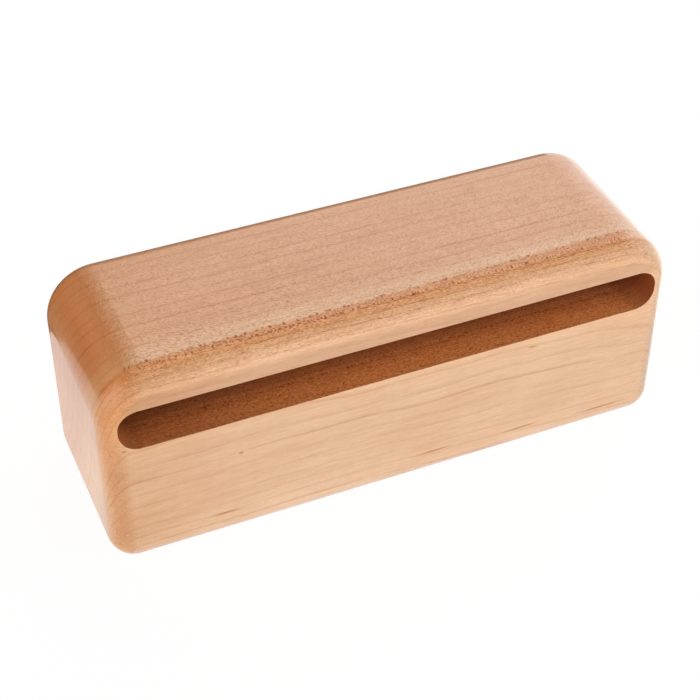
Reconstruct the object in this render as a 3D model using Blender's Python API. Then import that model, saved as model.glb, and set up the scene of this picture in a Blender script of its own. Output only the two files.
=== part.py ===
"""A wood block: one piece of hard maple with rounded edges and a resonance slot milled in from the front.

All sizes are in metres. The origin is the middle of the footprint, on the surface the block lies on.
+X runs along the block, -Y is the slotted front and +Z is up, towards the struck face.
"""

import math

import bmesh
import bpy
from mathutils import Matrix

# Outside of the block
LENGTH = 0.180
DEPTH = 0.0616
HEIGHT = 0.0686

# Roundings: the two upper ends are turned over a large radius, every other edge over a small one
END_RADIUS = 0.016
EDGE_RADIUS = 0.008

# Wood left round the resonance slot
SOUNDING_PLATE = 0.0094
BACK_WALL = 0.0116
LEFT_END_WALL = 0.0048
RIGHT_END_WALL = 0.0061

# The slot is milled with one cutter, which makes its round ends, and widened by a second, shifted pass
CUTTER_DIAMETER = 0.0127
SECOND_PASS_SHIFT = 0.0010

# Facets in each quarter turn of a rounding
END_FACETS = 12
EDGE_FACETS = 8
CUTTER_FACETS = 10

# How far the shape of the milled space stands out in front of the block, so that it cuts cleanly
CUT_OVERRUN = 0.010

# An edge sharper than this is still square, and so still has to be rounded
SQUARE_EDGE = math.radians(60)

MAPLE_COLOUR = (0.75, 0.46, 0.27, 1.0)
MAPLE_ROUGHNESS = 0.38


def clear_scene():
    for obj in list(bpy.data.objects):
        bpy.data.objects.remove(obj, do_unlink=True)


def make_material(name, colour, roughness, metallic=0.0):
    material = bpy.data.materials.new(name)
    material.use_nodes = True
    shader = material.node_tree.nodes["Principled BSDF"]
    shader.inputs["Base Color"].default_value = colour
    shader.inputs["Roughness"].default_value = roughness
    shader.inputs["Metallic"].default_value = metallic
    material.diffuse_color = colour
    return material


def make_box(low, high):
    """A square-edged box between two corners."""
    bm = bmesh.new()
    size = [top - bottom for bottom, top in zip(low, high)]
    middle = [(top + bottom) / 2 for bottom, top in zip(low, high)]
    bmesh.ops.create_cube(
        bm,
        size=1.0,
        matrix=Matrix.Translation(middle) @ Matrix.Diagonal((*size, 1.0)),
    )
    return bm


def round_edges(bm, edges, radius, facets):
    bmesh.ops.bevel(
        bm,
        geom=edges,
        offset=radius,
        offset_type="OFFSET",
        affect="EDGES",
        segments=facets,
        profile=0.5,
        material=-1,
        clamp_overlap=False,
    )


def runs_front_to_back(edge):
    along = (edge.verts[1].co - edge.verts[0].co).normalized()
    return abs(along.y) > 0.999


def finish_object(bm, name):
    bmesh.ops.recalc_face_normals(bm, faces=bm.faces)
    mesh = bpy.data.meshes.new(name)
    bm.to_mesh(mesh)
    bm.free()
    mesh.shade_smooth()
    mesh.set_sharp_from_angle(angle=SQUARE_EDGE)
    obj = bpy.data.objects.new(name, mesh)
    bpy.context.scene.collection.objects.link(obj)
    return obj


def make_blank():
    """The block before the slot is cut: a squared blank, its upper ends rounded first, then all that is left square."""
    bm = make_box((-LENGTH / 2, -DEPTH / 2, 0.0), (LENGTH / 2, DEPTH / 2, HEIGHT))
    upper_ends = [
        edge
        for edge in bm.edges
        if runs_front_to_back(edge) and edge.verts[0].co.z > HEIGHT / 2
    ]
    round_edges(bm, upper_ends, END_RADIUS, END_FACETS)
    still_square = [edge for edge in bm.edges if edge.calc_face_angle() > SQUARE_EDGE]
    round_edges(bm, still_square, EDGE_RADIUS, EDGE_FACETS)
    return finish_object(bm, "sounding_block")


def make_slot_space():
    """The milled space: flat roof and floor, ends as round as the cutter, a flat bottom short of the back."""
    slot_height = CUTTER_DIAMETER + SECOND_PASS_SHIFT
    roof = HEIGHT - SOUNDING_PLATE
    bm = make_box(
        (-LENGTH / 2 + LEFT_END_WALL, -DEPTH / 2 - CUT_OVERRUN, roof - slot_height),
        (LENGTH / 2 - RIGHT_END_WALL, DEPTH / 2 - BACK_WALL, roof),
    )
    corners = [edge for edge in bm.edges if runs_front_to_back(edge)]
    round_edges(bm, corners, CUTTER_DIAMETER / 2, CUTTER_FACETS)
    space = finish_object(bm, "slot_space")
    space.hide_render = True
    space.display_type = "WIRE"
    return space


def make_sounding_block():
    block = make_blank()
    block.data.materials.append(
        make_material("lacquered_maple", MAPLE_COLOUR, MAPLE_ROUGHNESS)
    )
    slot = block.modifiers.new("resonance_slot", "BOOLEAN")
    slot.operation = "DIFFERENCE"
    slot.solver = "EXACT"
    slot.object = make_slot_space()
    return block


clear_scene()
make_sounding_block()
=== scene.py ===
"""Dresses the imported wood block: a finely rounded surface, lacquered maple and a white studio floor.

The scene is in metres, in the part's own frame. The wood is described in millimetres.
"""

import math

import bmesh
import bpy
from mathutils import Matrix, Vector


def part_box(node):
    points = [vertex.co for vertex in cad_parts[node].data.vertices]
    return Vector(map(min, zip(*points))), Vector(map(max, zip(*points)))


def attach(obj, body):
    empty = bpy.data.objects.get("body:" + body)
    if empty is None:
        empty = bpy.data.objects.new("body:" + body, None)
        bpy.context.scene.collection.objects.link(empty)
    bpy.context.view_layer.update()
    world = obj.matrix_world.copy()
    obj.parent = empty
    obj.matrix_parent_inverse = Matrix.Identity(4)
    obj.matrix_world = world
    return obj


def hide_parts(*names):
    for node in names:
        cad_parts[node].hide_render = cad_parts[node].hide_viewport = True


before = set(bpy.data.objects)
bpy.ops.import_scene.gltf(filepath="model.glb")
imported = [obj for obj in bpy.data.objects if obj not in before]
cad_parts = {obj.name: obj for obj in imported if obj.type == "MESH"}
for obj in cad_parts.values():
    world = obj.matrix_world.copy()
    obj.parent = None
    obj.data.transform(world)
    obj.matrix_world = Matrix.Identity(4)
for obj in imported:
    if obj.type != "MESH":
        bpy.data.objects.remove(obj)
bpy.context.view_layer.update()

# Roundings of the blank, in metres: large on the two upper ends, small on every other edge
END_RADIUS = 0.016
EDGE_RADIUS = 0.008

# Wood left round the resonance slot, and the cutter that milled it
SOUNDING_PLATE = 0.0094
BACK_WALL = 0.0116
LEFT_END_WALL = 0.0048
RIGHT_END_WALL = 0.0061
CUTTER_DIAMETER = 0.0127
SECOND_PASS_SHIFT = 0.0010
CUT_OVERRUN = 0.010
MOUTH_EASE = 0.00012

# Facets in each quarter turn, and the turn at which an edge counts as square
END_FACETS = 32
EDGE_FACETS = 24
CUTTER_FACETS = 24
EASE_FACETS = 3
SQUARE_EDGE = math.radians(60)

# Where the growth rings have their middle, behind the block and above it, in millimetres
PITH_Y = 107.0
PITH_Z = 83.0

# The width of a year's ring while the tree grew fast, and further out where it grew slowly
FAST_RING = 4.4
SLOW_RING = 1.75
SLOW_GROWTH_FROM = 133.0

# The rings come forward towards the right, and bow down on both sides of a crest
RING_LEAN = 0.006
RING_CREST = -25.0
RING_BOW = 0.0003

# How far the rings wander off true circles, in millimetres
WANDER_Y = 1.6
WANDER_Z = 1.2

# How unevenly the years follow each other, how fast that changes, and where their count starts
YEAR_DRIFT = 0.12
YEAR_SPREAD = 0.6
YEAR_CHANGE = 0.9
FIRST_YEAR = -0.085

# Through a year, from 0 to 1: where the late wood darkens, and where it gives way to the next spring's
LATE_WOOD = (0.52, 0.95)
YEAR_END = (0.96, 1.0)

# A year's dark line: how dark in a faint year and how much more in a strong one, then the same along it
FAINT_YEAR = 0.15
YEAR_RANGE = 0.50
FAINT_STRETCH = 0.45
STRETCH_RANGE = 0.75
STRETCH_NOISE = (-0.20, 0.12)

# The share of those lines that is lost on the flat of the front
FRONT_RING_LOSS = 0.25

# Spots of the wood's figure, in millimetres: the length along the grain and the width across it
WANDER_SPOT = (45.0, 22.0)
DRIFT_SPOT = (14.0, 5.0)
FADING_SPOT = (30.0, 6.0)
FIBRE_SPOT = (5.0, 0.28)
STREAK_SPOT = (12.0, 0.8)
PATCH_SPOT = (26.0, 9.0)
CURL_SPOT = (4.0, 30.0)

# How strongly the figure stains the wood: everywhere, by each kind, and more on the front's rounding
GRAIN_SHARE = 0.25
PATCH_SHARE = 0.50
CURL_SHARE = 0.15
FIBRE_SHARE = 0.75
STREAK_SHARE = 0.60
ROUNDED_FIBRE_SHARE = 0.65
ROUNDED_STREAK_SHARE = 0.45

# Rays, in millimetres: the height along the grain, the spacing round the pith and the length out from it
FINE_RAY = (0.9, 0.013, 1.8)
BROAD_RAY = (1.3, 0.20, 14.0)

# How far from the pith, in millimetres, the rays have that spacing
RAY_RADIUS = 130.0

# The noise over which a fine ray darkens, and the distance over which a broad one fades, counted in rays
FINE_RAY_NOISE = (0.47, 0.65)
BROAD_RAY_FADE = (0.22, 0.50)

# How unevenly the broad rays are spaced, from 0 to 1
BROAD_RAY_SCATTER = 0.9

# Where the surface cuts straight across the rays, fine ones lose this share
ACROSS_RAYS = (0.60, 0.98)
ACROSS_LOSS = 0.6

# The row of ray flecks on the top, in millimetres: its place at the middle, and its drift back to the right
ROW_Y = -21.3
ROW_DRIFT = 0.012

# Off the line of the row, in millimetres: where its flecks fade, and where the wood before it begins
ROW_FADE = (0.2, 0.9)
ROW_EDGE = (-0.5, 0.5)

# Which rays show as flecks, by a number of each ray's own, which grows to the right by x over the gain
FLECK_NUMBER = (0.12, 0.45)
FLECK_GAIN = 400.0

# Distances from the pith, in millimetres, over which the wood turns to its next colour
# The middle wood comes in early enough to lighten the top behind the row of flecks: real wood, and painted
# sheen there
TO_MIDDLE_WOOD_AND_SHEEN = (119.0, 130.0)
TO_SAPWOOD = (138.5, 145.0)
# The last is no other wood: the block is painted paler low down, painted light from the floor
TO_BOUNCE_LIT_WOOD = (152.0, 159.0)

# Stretches along the block, in millimetres, over which a shade comes or goes
LEFT_FRONT_FADE = (-94.0, -40.0)
LEFT_SLOT_SHADE_FADE = (-88.0, -15.0)
LEFT_SLOT_SHADE_EDGE = (-84.5, -77.0)
RIGHT_SLOT_SHADE_RISE = (75.5, 82.5)

# The same from front to back
SLOT_DEPTH_RISE = (-27.5, -12.0)

# The same upwards
UPPER_END_RISE = (22.0, 56.0)
UPPER_FRONT_RISE = (50.0, 62.0)
LIP_RISE = (57.0, 60.0)

# How far the surface faces an end, from 0 to 1, over which a shade comes or goes
GRAIN_TURN = (0.15, 0.75)
END_GRAIN_TURN = (0.10, 0.80)
UPPER_END_TURN = (0.50, 0.95)
RIGHT_END_TURN = (0.10, 0.60)
LEFT_SIDE_TURN = (-0.1, 0.1)
SLANTED_TURN = (0.06, 0.40)
SLANTED_END = (0.70, 0.98)

# The same for the front
ROUNDED_TURN = (0.02, 0.25)
ROUNDED_END = (0.80, 1.0)
LEFT_FRONT_TURN = (0.2, 0.9)
LIP_TURN = (0.86, 0.99)
TURNED_END = (0.36, 0.55)

# The same for the top
BEFORE_ROW_TURN = (0.4, 0.7)
ROW_TURN = (0.8, 0.9)
STRIP_TURN = (0.97, 0.998)

# How much of their stain the slanted parts of the ends take, and what their upper side adds
SLANTED_SHARE = 0.35
SLANTED_UPPER_SHARE = 0.65

# How much of its stain the left of the front takes, and what its upper part and its rounding add
LEFT_FRONT_SHARE = 0.6
UPPER_FRONT_SHARE = 0.4
LEFT_ROUNDING_SHARE = 0.6

# How much of the band's stain the level strip takes, and how much of the painted shade at the
# slot's left end each stretch takes away
STRIP_BAND_SHARE = 0.7
LEFT_SLOT_SHADE_LOSS = 0.5

# Colours of the wood, from the pith outwards
HEARTWOOD = (0.900, 0.475, 0.238, 1.0)
MIDDLE_WOOD = (0.990, 0.638, 0.374, 1.0)
SAPWOOD = (0.848, 0.564, 0.356, 1.0)
# Painted light from the floor: paler wood low on the block
BOUNCE_LIT_WOOD = (0.905, 0.635, 0.425, 1.0)

# Stains of the figure, all over the block
GRAIN_STAIN = (0.76, 0.56, 0.40, 1.0)
RING_STAIN = (0.74, 0.51, 0.36, 1.0)
FINE_RAY_STAIN = (0.60, 0.39, 0.24, 1.0)
FLECK_STAIN = (0.56, 0.26, 0.11, 1.0)

# Stains of the ends, and painted shade on the upper part of those that face left
END_GRAIN_STAIN = (0.94, 0.80, 0.66, 1.0)
UPPER_END_SHADE = (0.80, 0.70, 0.58, 1.0)
SLANTED_STAIN = (0.89, 0.72, 0.56, 1.0)
RIGHT_END_STAIN = (0.79, 0.79, 0.77, 1.0)

# Stains of the front and of the top before the row of flecks; its turn and level strip take painted shade
LEFT_FRONT_STAIN = (0.85, 0.74, 0.59, 1.0)
LIP_STAIN = (0.77, 0.72, 0.73, 1.0)
# Painted shade where the top turns down to the front
TURNED_SHADE = (1.00, 0.87, 0.75, 1.0)
# Painted shade on the level strip before the row, and on the front of the slot's floor
STRIP_SHADE = (0.94, 0.85, 0.75, 1.0)
BAND_STAIN = (0.66, 0.38, 0.18, 1.0)
MARK_STAIN = (0.72, 0.47, 0.30, 1.0)

# Stains of the milled slot, and painted shade deeper in it and at its two ends
MILLED_STAIN = (1.05, 0.725, 0.435, 1.0)
SLOT_DEPTH_SHADE = (0.54, 0.43, 0.38, 1.0)
LEFT_SLOT_SHADE = (0.50, 0.36, 0.28, 1.0)
RIGHT_SLOT_SHADE = (0.42, 0.28, 0.25, 1.0)
ROUGH_STAIN = (0.34, 0.18, 0.10, 1.0)

# Small dark marks on the front, in millimetres: the middle in x and z, half the length and half the height
MARKS = (
    (-84.0, 45.7, 1.1, 0.5),
    (-50.4, 33.0, 1.0, 0.6),
    (43.0, 42.0, 2.0, 0.4),
    (85.0, 46.0, 0.6, 0.5),
    (-56.0, 10.9, 6.5, 0.5),
    (11.5, 10.9, 8.5, 0.5),
    (41.5, 9.8, 8.5, 0.5),
    (70.0, 8.4, 12.0, 0.5),
)

# The marks lie in front of this, in millimetres
FRONT_SKIN = -30.0

# From the heart of a mark, at 0, to its rim, at 1, it fades over this stretch
MARK_FADE = (0.2, 1.0)

# How near to the slot's own walls, in millimetres, the wood counts as milled
WALL_SLACK = 0.05

# How the wood shines, and what roughens it
WOOD_GLOSS = 0.28
WOOD_ROUGHNESS = 0.42
FIBRE_ROUGHNESS = 0.10
MILLED_ROUGHNESS = 0.2

# How the lacquer shines, and how much of it is lost where it isn't applied or sinks in, and on the
# level strip that takes painted shade
LACQUER = 0.60
LACQUER_ROUGHNESS = 0.12
MILLED_LOSS = 0.50
FINE_RAY_LOSS = 0.30
FLECK_LOSS = 0.55
STRIP_LOSS = 0.45

# The white floor, in metres, then its light and the shares of its surface that glow
FLOOR_HALF_SIZE = 3.0
FLOOR_DROP = 0.0001
FLOOR_PAPER = (0.86, 0.86, 0.86, 1.0)
FLOOR_LIGHT = 1.045
FLOOR_GLOW = 0.32
FLOOR_GLOW_WHEN_SEEN = 0.58

# The tent's walls: their light, and the sines of the elevations between which they go dark
WALL_LIGHT = 1.48
WALL_TOP = (0.668, 0.85)

# Parts of the tent, in degrees: the middle's azimuth and elevation, then where it ends and where it is full
BACK_GAP = (119.8, 16.4, 45.0, 39.5)
BACK_PANEL = (56.0, 26.0, 40.0, 8.0)
BACK_SHADE = (45.0, 13.0, 16.0, 7.0)
LEFT_WALL = (178.0, 8.0, 40.0, 10.0)

# The share of the walls' light that the gap loses, and the light that the other parts add or take
GAP_LOSS = 0.9
LEFT_WALL_LIGHT = 0.55
SHADE_LOSS = 0.35

# The light of the cloth on the right, which only the gloss shows
LIT_CLOTH_GLOW = 1.7

# The photograph's camera
VIEW_TARGET = Vector((-0.0033, 0.0, 0.0320))
VIEW_AZIMUTH = math.radians(-23.503)
VIEW_ELEVATION = math.radians(40.273)
VIEW_ROLL = math.radians(0.388)
VIEW_DISTANCE = 0.50975
LENS = 85.144
SENSOR = 36.0

WHITE = (1.0, 1.0, 1.0, 1.0)
MILLIMETRES_IN_METRE = 1000.0


class Wire:
    """One output of a shader node. An expression on wires adds the Math nodes that work it out."""

    def __init__(self, tree, socket):
        self.tree = tree
        self.socket = socket

    def node(self, kind, settings, inputs, output=0):
        """Adds a node: its settings first, then the values or wires of its sockets."""
        made = self.tree.nodes.new(kind)
        for name, value in settings.items():
            setattr(made, name, value)
        for name, value in inputs.items():
            if isinstance(value, Wire):
                self.tree.links.new(value.socket, made.inputs[name])
            else:
                made.inputs[name].default_value = value
        return Wire(self.tree, made.outputs[output]) if made.outputs else None

    def maths(self, operation, *values):
        return self.node("ShaderNodeMath", {"operation": operation}, dict(enumerate(values)))

    def __add__(self, other):
        return self.maths("ADD", self, other)

    def __radd__(self, other):
        return self.maths("ADD", other, self)

    def __sub__(self, other):
        return self.maths("SUBTRACT", self, other)

    def __rsub__(self, other):
        return self.maths("SUBTRACT", other, self)

    def __mul__(self, other):
        return self.maths("MULTIPLY", self, other)

    def __rmul__(self, other):
        return self.maths("MULTIPLY", other, self)

    def __truediv__(self, other):
        return self.maths("DIVIDE", self, other)

    def __pow__(self, other):
        return self.maths("POWER", self, other)

    def __abs__(self):
        return self.maths("ABSOLUTE", self)

    def step(self, low, high):
        """0 below low, 1 above high, and a smooth rise between them."""
        return self.node(
            "ShaderNodeMapRange",
            {"interpolation_type": "SMOOTHSTEP"},
            {"Value": self, "From Min": low, "From Max": high},
        )

    def split(self):
        return [self.node("ShaderNodeSeparateXYZ", {}, {0: self}, axis) for axis in range(3)]


def join(x, y, z):
    return x.node("ShaderNodeCombineXYZ", {}, {0: x, 1: y, 2: z})


def blend(factor, start, end):
    """A colour between two others."""
    return factor.node(
        "ShaderNodeMix",
        {"data_type": "RGBA", "clamp_factor": True},
        {"Factor": factor, 6: start, 7: end},
        2,
    )


def stain(amount, colour, stain_colour):
    """A colour seen through a stain, from no stain at 0 to all of it at 1."""
    return amount.node(
        "ShaderNodeMix",
        {"data_type": "RGBA", "blend_type": "MULTIPLY", "clamp_factor": True},
        {"Factor": amount, 6: colour, 7: stain_colour},
        2,
    )


def noise(place, detail):
    """Smooth noise from 0 to 1, a unit apart."""
    return place.node(
        "ShaderNodeTexNoise",
        {"noise_dimensions": "3D"},
        {"Vector": place, "Scale": 1.0, "Detail": detail, "Roughness": 0.5},
    )


def grained(x, y, z, spot, detail):
    """Noise from -0.5 to 0.5 in spots that are drawn out along the grain."""
    length, width = spot
    return noise(join(x / length, y / width, z / width), detail) - 0.5


def ray_cells(x, turn, radius, ray):
    """A place counted in rays: up the grain, round the pith and out from it."""
    height, spacing, length = ray
    return join(x / height, turn / spacing, radius / length)


def new_material(name):
    """An empty material, and a wire on the place of the shaded point."""
    material = bpy.data.materials.new(name)
    material.use_nodes = True
    material.node_tree.nodes.clear()
    place = material.node_tree.nodes.new("ShaderNodeTexCoord").outputs["Object"]
    return material, Wire(material.node_tree, place)


def on_slot_walls(x, y, z, low, high):
    """1 on the walls of the round-ended slot between two corners in millimetres, and 0 outside it."""
    cutter_radius = CUTTER_DIAMETER / 2 * MILLIMETRES_IN_METRE
    middle = (low + high) / 2
    straight = (high - low) / 2 - Vector((cutter_radius, 0.0, cutter_radius))
    past_x = x.maths("MAXIMUM", abs(x - middle.x) - straight.x, 0.0)
    past_z = z.maths("MAXIMUM", abs(z - middle.z) - straight.z, 0.0)
    from_middle = (past_x * past_x + past_z * past_z) ** 0.5
    within = from_middle.maths("LESS_THAN", from_middle, cutter_radius + WALL_SLACK)
    past_mouth = y.maths("GREATER_THAN", y, low.y + WALL_SLACK)
    short_of_back = y.maths("LESS_THAN", y, high.y + WALL_SLACK)
    return within * past_mouth * short_of_back


def growth(x, y, z):
    """The distance from the pith, the way round it and the age of the wood, all wandering a little."""
    wander = grained(x, y, z, WANDER_SPOT, 1.0)
    drift = grained(x, y, z, DRIFT_SPOT, 1.0)
    from_pith_y = y + x * RING_LEAN - PITH_Y + wander * WANDER_Y
    from_pith_z = z + (x - RING_CREST) ** 2.0 * RING_BOW - PITH_Z + wander * WANDER_Z
    radius = (from_pith_y * from_pith_y + from_pith_z * from_pith_z) ** 0.5
    turn = from_pith_z.maths("ARCTAN2", from_pith_z, from_pith_y * -1.0) * -RAY_RADIUS
    slow_years = radius.maths("MAXIMUM", radius - SLOW_GROWTH_FROM, 0.0)
    years = radius / FAST_RING + slow_years * (1 / SLOW_RING - 1 / FAST_RING) + drift * YEAR_DRIFT
    uneven = noise(join(years * YEAR_CHANGE, 0.0, 0.0), 0.0) - 0.5
    return radius, turn, years + uneven * YEAR_SPREAD + FIRST_YEAR


def late_wood(x, y, z, years):
    """The dark line that closes each year, stronger in some years than in others and fading in places."""
    season = years.maths("FRACT", years)
    year = years.maths("FLOOR", years)
    strength = year.node("ShaderNodeTexWhiteNoise", {"noise_dimensions": "1D"}, {"W": year})
    late = season.step(*LATE_WOOD) * (1.0 - season.step(*YEAR_END))
    clear = grained(x, y, z, FADING_SPOT, 1.0).step(*STRETCH_NOISE)
    in_year = FAINT_YEAR + strength * YEAR_RANGE
    return late * late * late * in_year * (FAINT_STRETCH + clear * STRETCH_RANGE)


def broad_rays(x, turn, radius):
    """Broad rays: 1 inside a ray, and a number of each ray's own."""
    cells = ray_cells(x, turn, radius, BROAD_RAY)
    nearest = cells.node(
        "ShaderNodeTexVoronoi",
        {"feature": "F1", "voronoi_dimensions": "3D"},
        {"Vector": cells, "Scale": 1.0, "Randomness": BROAD_RAY_SCATTER},
    )
    own = Wire(nearest.tree, nearest.socket.node.outputs["Color"]).split()[0]
    return 1.0 - nearest.step(*BROAD_RAY_FADE), own


def front_marks(x, y, z):
    """1 at the heart of each small mark on the front, and 0 away from them."""
    marks = x * 0.0
    for middle_x, middle_z, half_length, half_height in MARKS:
        along = (x - middle_x) / half_length
        across = (z - middle_z) / half_height
        mark = 1.0 - ((along * along + across * across) ** 0.5).step(*MARK_FADE)
        marks = marks + mark
    return marks * y.maths("LESS_THAN", y, FRONT_SKIN)


def stain_ends(colour, z, facing_x, facing_z, outside):
    """End grain takes in the lacquer and darkens, and so do the roundings beside it on the left.

    Ends that face left are painted darker towards the top, painted shade. The slot's right end faces
    left too, and takes that shade.
    """
    end_grain = abs(facing_x)
    leftward = 1.0 - facing_x.step(*LEFT_SIDE_TURN)
    on_left = leftward * outside
    # Painted shade: ends that face left darken towards the top
    upper = end_grain.step(*UPPER_END_TURN) * z.step(*UPPER_END_RISE)
    slanted = end_grain.step(*SLANTED_TURN) * (1.0 - end_grain.step(*SLANTED_END))
    slanted = slanted * (SLANTED_SHARE + facing_z * SLANTED_UPPER_SHARE)
    colour = stain(end_grain.step(*END_GRAIN_TURN) * on_left, colour, END_GRAIN_STAIN)
    colour = stain(upper * leftward, colour, UPPER_END_SHADE)
    colour = stain(slanted * on_left, colour, SLANTED_STAIN)
    return stain(facing_x.step(*RIGHT_END_TURN) * outside, colour, RIGHT_END_STAIN)


def stain_front(colour, x, y, z, facing_x, fronted, outside):
    """The front darkens towards its left end and on the lip over the slot, and has a few marks."""
    left_part = fronted.step(*LEFT_FRONT_TURN) * (1.0 - x.step(*LEFT_FRONT_FADE))
    share = LEFT_FRONT_SHARE + z.step(*UPPER_FRONT_RISE) * UPPER_FRONT_SHARE
    share = share + abs(facing_x) * LEFT_ROUNDING_SHARE
    colour = stain(left_part * share * outside, colour, LEFT_FRONT_STAIN)
    colour = stain(fronted.step(*LIP_TURN) * z.step(*LIP_RISE) * outside, colour, LIP_STAIN)
    return stain(front_marks(x, y, z), colour, MARK_STAIN)


def stain_slot(colour, x, y, milled, fine_ray):
    """Milled wood is bare, rough and darker; deeper in the slot and at both ends it takes painted shade."""
    colour = stain(milled, colour, MILLED_STAIN)
    # Painted shade, darker deeper into the slot
    colour = stain(milled * y.step(*SLOT_DEPTH_RISE), colour, SLOT_DEPTH_SHADE)
    # Painted shade at the slot's left end, fading towards the right
    left_slot_shade = 1.0 - (x.step(*LEFT_SLOT_SHADE_FADE) + x.step(*LEFT_SLOT_SHADE_EDGE)) * LEFT_SLOT_SHADE_LOSS
    colour = stain(milled * left_slot_shade, colour, LEFT_SLOT_SHADE)
    # Painted shade at the slot's right end
    colour = stain(milled * x.step(*RIGHT_SLOT_SHADE_RISE), colour, RIGHT_SLOT_SHADE)
    return stain(milled * fine_ray, colour, ROUGH_STAIN)


def make_maple(slot_low, slot_high):
    """Hard maple under a satin lacquer: growth layers round a far pith, and rays that run out from it."""
    material, place = new_material("lacquered_maple")
    x, y, z = [axis * MILLIMETRES_IN_METRE for axis in place.split()]
    facing_x, facing_y, facing_z = place.node("ShaderNodeTexCoord", {}, {}, "Normal").split()

    # Which wood, and which way it is cut
    radius, turn, years = growth(x, y, z)
    across_rays = abs((facing_y * (y - PITH_Y) + facing_z * (z - PITH_Z)) / radius)
    along_grain = 1.0 - abs(facing_x).step(*GRAIN_TURN)
    fronted = facing_y * -1.0
    flat_front = fronted.step(*ROUNDED_END)
    rounded = fronted.step(*ROUNDED_TURN) * (1.0 - flat_front)
    milled = on_slot_walls(x, y, z, slot_low, slot_high)
    outside = 1.0 - milled

    # The row of flecks and the wood before it, with painted shade on its turn and its level strip and on
    # the slot's floor below
    from_row = y - x * ROW_DRIFT - ROW_Y
    on_row = (1.0 - abs(from_row).step(*ROW_FADE)) * facing_z.step(*ROW_TURN) * along_grain
    before_row = (1.0 - from_row.step(*ROW_EDGE)) * facing_z.step(*BEFORE_ROW_TURN)
    turned = before_row * (1.0 - fronted.step(*TURNED_END))
    strip = before_row * facing_z.step(*STRIP_TURN)

    # The figure: fibres, streaks, patches and curl in the grain, lines between the years, and rays
    patch = grained(x, y, z, PATCH_SPOT, 2.0)
    curl = grained(x, y, z, CURL_SPOT, 1.0)
    fibre = grained(x, y, z, FIBRE_SPOT, 2.0)
    streak = grained(x, y, z, STREAK_SPOT, 2.0)
    grain = GRAIN_SHARE + patch * PATCH_SHARE + curl * CURL_SHARE
    grain = grain + fibre * (FIBRE_SHARE + rounded * ROUNDED_FIBRE_SHARE)
    grain = grain + streak * (STREAK_SHARE + rounded * ROUNDED_STREAK_SHARE)
    ring = late_wood(x, y, z, years) * (1.0 - flat_front * FRONT_RING_LOSS)
    fine_ray = noise(ray_cells(x, turn, radius, FINE_RAY), 1.0).step(*FINE_RAY_NOISE)
    fine_ray = fine_ray * along_grain * (1.0 - across_rays.step(*ACROSS_RAYS) * ACROSS_LOSS)
    broad_ray, own_number = broad_rays(x, turn, radius)
    fleck = broad_ray * (own_number + x / FLECK_GAIN).step(*FLECK_NUMBER) * on_row

    colour = blend(radius.step(*TO_MIDDLE_WOOD_AND_SHEEN), HEARTWOOD, MIDDLE_WOOD)
    colour = blend(radius.step(*TO_SAPWOOD), colour, SAPWOOD)
    # Painted light from the floor, paler low on the block
    colour = blend(radius.step(*TO_BOUNCE_LIT_WOOD), colour, BOUNCE_LIT_WOOD)
    colour = stain(grain, colour, GRAIN_STAIN)
    colour = stain(ring, colour, RING_STAIN)
    colour = stain(fine_ray, colour, FINE_RAY_STAIN)
    colour = stain(fleck, colour, FLECK_STAIN)
    colour = stain_ends(colour, z, facing_x, facing_z, outside)
    colour = stain_front(colour, x, y, z, facing_x, fronted, outside)
    # Painted shade where the top turns down to the front
    colour = stain(turned * outside, colour, TURNED_SHADE)
    # Painted shade on the level strip before the row and on the front of the slot's floor
    colour = stain(strip, colour, STRIP_SHADE)
    colour = stain_slot(colour, x, y, milled, fine_ray)
    band = (rounded + strip * STRIP_BAND_SHARE) * outside
    colour = stain(band * fine_ray, colour, BAND_STAIN)

    roughness = WOOD_ROUGHNESS + fibre * FIBRE_ROUGHNESS + milled * MILLED_ROUGHNESS
    lacquer = LACQUER - milled * MILLED_LOSS - fine_ray * FINE_RAY_LOSS
    lacquer = lacquer - fleck * FLECK_LOSS - strip * STRIP_LOSS
    finish = colour.node(
        "ShaderNodeBsdfPrincipled",
        {},
        {
            "Base Color": colour,
            "Specular IOR Level": WOOD_GLOSS,
            "Roughness": roughness,
            "Coat Weight": lacquer,
            "Coat Roughness": LACQUER_ROUGHNESS,
        },
    )
    finish.node("ShaderNodeOutputMaterial", {}, {"Surface": finish})
    return material


def make_box(low, high):
    """A square-edged box between two corners."""
    bm = bmesh.new()
    size = [top - bottom for bottom, top in zip(low, high)]
    middle = [(top + bottom) / 2 for bottom, top in zip(low, high)]
    bmesh.ops.create_cube(
        bm,
        size=1.0,
        matrix=Matrix.Translation(middle) @ Matrix.Diagonal((*size, 1.0)),
    )
    return bm


def round_edges(bm, edges, radius, facets):
    bmesh.ops.bevel(
        bm,
        geom=edges,
        offset=radius,
        offset_type="OFFSET",
        affect="EDGES",
        segments=facets,
        profile=0.5,
        material=-1,
        clamp_overlap=False,
    )


def runs_front_to_back(edge):
    along = (edge.verts[1].co - edge.verts[0].co).normalized()
    return abs(along.y) > 0.999


def new_object(bm, name):
    bmesh.ops.recalc_face_normals(bm, faces=bm.faces)
    mesh = bpy.data.meshes.new(name)
    bm.to_mesh(mesh)
    bm.free()
    obj = bpy.data.objects.new(name, mesh)
    bpy.context.scene.collection.objects.link(obj)
    return obj


def make_blank(low, high):
    """The block before the slot is cut: the upper ends rounded first, then all that is left square."""
    bm = make_box(low, high)
    half_height = (low.z + high.z) / 2
    upper_ends = [
        edge
        for edge in bm.edges
        if runs_front_to_back(edge) and edge.verts[0].co.z > half_height
    ]
    round_edges(bm, upper_ends, END_RADIUS, END_FACETS)
    still_square = [edge for edge in bm.edges if edge.calc_face_angle() > SQUARE_EDGE]
    round_edges(bm, still_square, EDGE_RADIUS, EDGE_FACETS)
    return new_object(bm, "maple_block")


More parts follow.
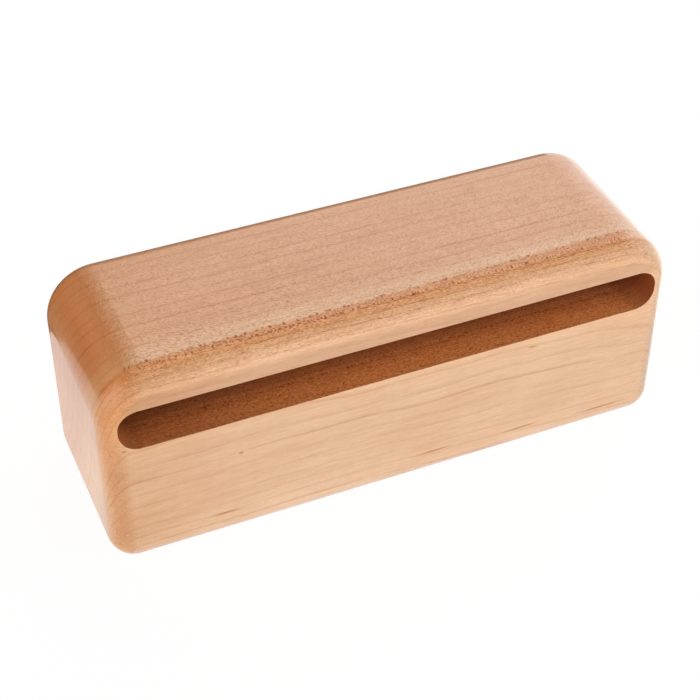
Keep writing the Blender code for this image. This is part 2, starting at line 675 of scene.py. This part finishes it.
def slot_corners(low, high):
    """The lowest and highest corners of the milled slot, its mouth level with the front."""
    roof = high.z - SOUNDING_PLATE
    floor = roof - CUTTER_DIAMETER - SECOND_PASS_SHIFT
    slot_low = Vector((low.x + LEFT_END_WALL, low.y, floor))
    slot_high = Vector((high.x - RIGHT_END_WALL, high.y - BACK_WALL, roof))
    return slot_low, slot_high


def make_slot_space(low, high):
    """The milled space, with ends as round as the cutter and a flat bottom short of the back."""
    slot_low, slot_high = slot_corners(low, high)
    bm = make_box(slot_low - Vector((0.0, CUT_OVERRUN, 0.0)), slot_high)
    corners = [edge for edge in bm.edges if runs_front_to_back(edge)]
    round_edges(bm, corners, CUTTER_DIAMETER / 2, CUTTER_FACETS)
    return new_object(bm, "slot_space")


def cut(obj, tool):
    """Takes one shape out of another, and removes the tool."""
    boolean = obj.modifiers.new("cut", "BOOLEAN")
    boolean.operation = "DIFFERENCE"
    boolean.solver = "EXACT"
    boolean.object = tool
    evaluated = obj.evaluated_get(bpy.context.evaluated_depsgraph_get())
    cut_mesh = bpy.data.meshes.new_from_object(evaluated)
    obj.modifiers.clear()
    obj.data = cut_mesh
    bpy.data.objects.remove(tool)


def ease_mouth(obj, front_half):
    """The sharp edge round the slot's mouth is sanded over."""
    bm = bmesh.new()
    bm.from_mesh(obj.data)
    rim = [
        edge
        for edge in bm.edges
        if edge.calc_face_angle(0.0) > SQUARE_EDGE
        and all(vert.co.y < front_half for vert in edge.verts)
    ]
    round_edges(bm, rim, MOUTH_EASE, EASE_FACETS)
    bm.to_mesh(obj.data)
    bm.free()


def make_block():
    low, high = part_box("sounding_block")
    maple = make_maple(*[corner * MILLIMETRES_IN_METRE for corner in slot_corners(low, high)])
    block = make_blank(low, high)
    cut(block, make_slot_space(low, high))
    ease_mouth(block, low.y / 2)
    block.data.materials.clear()
    block.data.materials.append(maple)
    block.data.shade_smooth()
    block.data.set_sharp_from_angle(angle=SQUARE_EDGE)
    flat = block.modifiers.new("flat_faces_stay_flat", "WEIGHTED_NORMAL")
    flat.keep_sharp = True
    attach(block, "root")
    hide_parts("sounding_block")
    return block


def seen_directly(wire):
    """1 for what the camera sees itself, or in gloss or glass, and 0 for what only lights the object."""
    seen = [
        wire.node("ShaderNodeLightPath", {}, {}, kind)
        for kind in ("Is Camera Ray", "Is Glossy Ray", "Is Transmission Ray")
    ]
    return wire.maths("MINIMUM", seen[0] + seen[1] + seen[2], 1.0)


def make_floor():
    """White paper that also glows, and more so where it is seen, yet still takes the block's shadow."""
    material, place = new_material("white_floor")
    paper = place.node("ShaderNodeBsdfDiffuse", {}, {"Color": FLOOR_PAPER})
    glow = place.node("ShaderNodeEmission", {}, {"Color": WHITE, "Strength": FLOOR_LIGHT})
    share = FLOOR_GLOW + seen_directly(place) * FLOOR_GLOW_WHEN_SEEN
    surface = place.node("ShaderNodeMixShader", {}, {0: share, 1: paper, 2: glow})
    surface.node("ShaderNodeOutputMaterial", {}, {"Surface": surface})
    bm = bmesh.new()
    bmesh.ops.create_grid(
        bm,
        x_segments=1,
        y_segments=1,
        size=FLOOR_HALF_SIZE,
        matrix=Matrix.Translation((0, 0, -FLOOR_DROP)),
    )
    floor = new_object(bm, "floor")
    floor.data.materials.append(material)


def near(direction, azimuth, elevation, outer, inner):
    """1 where a direction lies within the inner angle of another, 0 past the outer one, in degrees."""
    azimuth, elevation = math.radians(azimuth), math.radians(elevation)
    x, y, up = direction.split()
    likeness = (
        x * (math.cos(azimuth) * math.cos(elevation))
        + y * (math.sin(azimuth) * math.cos(elevation))
        + up * math.sin(elevation)
    )
    return likeness.step(math.cos(math.radians(outer)), math.cos(math.radians(inner)))


def make_tent():
    """White walls of soft light, dark overhead and in a gap at the back.

    A bright panel with a small shade before it stands at the back, and the left wall is brighter.
    """
    world = bpy.data.worlds.new("white_tent")
    world.use_nodes = True
    world.node_tree.nodes.clear()
    generated = world.node_tree.nodes.new("ShaderNodeTexCoord").outputs["Generated"]
    direction = Wire(world.node_tree, generated)
    up = direction.split()[2]
    walls = WALL_LIGHT * (1.0 - up.step(*WALL_TOP))
    gap = near(direction, *BACK_GAP)
    panel = near(direction, *BACK_PANEL) ** 2.0
    left_wall = near(direction, *LEFT_WALL)
    shade = near(direction, *BACK_SHADE)
    level = walls * (1.0 - gap * GAP_LOSS) + panel
    level = level + left_wall * LEFT_WALL_LIGHT - shade * SHADE_LOSS
    seen = direction.node("ShaderNodeLightPath", {}, {}, "Is Camera Ray")
    level = level * (1.0 - seen) + seen
    light = level.node("ShaderNodeBackground", {}, {"Color": WHITE, "Strength": level})
    light.node("ShaderNodeOutputWorld", {}, {"Surface": light})
    bpy.context.scene.world = world


def make_sheet(name, corners, glow):
    """A flat sheet of studio cloth between four corners, black or glowing, out of the camera's sight."""
    material, place = new_material(name)
    cloth = place.node("ShaderNodeEmission", {}, {"Color": WHITE, "Strength": glow})
    cloth.node("ShaderNodeOutputMaterial", {}, {"Surface": cloth})
    bm = bmesh.new()
    bmesh.ops.create_grid(bm, x_segments=1, y_segments=1, size=0.5)
    for vert, corner in zip(bm.verts, corners):
        vert.co = corner
    sheet = new_object(bm, name)
    sheet.data.materials.append(material)
    sheet.visible_camera = False
    return sheet


def make_surroundings():
    """Gloss shows a dark wall far back, a black sheet on the floor behind, and a lit cloth on the right."""
    far_left, far_right = Vector((-2.0, 1.5, 0.0)), Vector((0.9, 1.5, 0.0))
    wall_rise = Vector((0.0, 0.0, 0.46))
    make_sheet("dark_wall", (far_left, far_right, far_left + wall_rise, far_right + wall_rise), 0.0)
    near_left, near_right = (-0.12, 0.083, 0.0), (0.108, 0.083, 0.0)
    dark = make_sheet("dark_cloth", (near_left, near_right, far_left, far_right), 0.0)
    lit_near = ((0.115, -0.01, 0.0), (2.5, -0.01, 0.0))
    lit_far = ((1.0, 1.6, 0.0), (2.5, 1.6, 0.0))
    lit = make_sheet("lit_cloth", lit_near + lit_far, LIT_CLOTH_GLOW)
    for cloth in (dark, lit):
        cloth.visible_diffuse = False
        cloth.visible_shadow = False


def aim_camera():
    back = Vector(
        (
            math.sin(VIEW_AZIMUTH) * math.cos(VIEW_ELEVATION),
            -math.cos(VIEW_AZIMUTH) * math.cos(VIEW_ELEVATION),
            math.sin(VIEW_ELEVATION),
        )
    )
    level_right = Vector((math.cos(VIEW_AZIMUTH), math.sin(VIEW_AZIMUTH), 0.0))
    level_up = back.cross(level_right)
    right = level_right * math.cos(VIEW_ROLL) + level_up * math.sin(VIEW_ROLL)
    up = level_up * math.cos(VIEW_ROLL) - level_right * math.sin(VIEW_ROLL)
    data = bpy.data.cameras.new("camera")
    data.lens = LENS
    data.sensor_width = SENSOR
    camera = bpy.data.objects.new("camera", data)
    turn = Matrix((right, up, back)).transposed().to_4x4()
    camera.matrix_world = Matrix.Translation(VIEW_TARGET + back * VIEW_DISTANCE) @ turn
    bpy.context.scene.collection.objects.link(camera)
    bpy.context.scene.camera = camera


aim_camera()
make_block()
make_floor()
make_surroundings()
make_tent()
bpy.context.scene.view_settings.view_transform = "Standard"
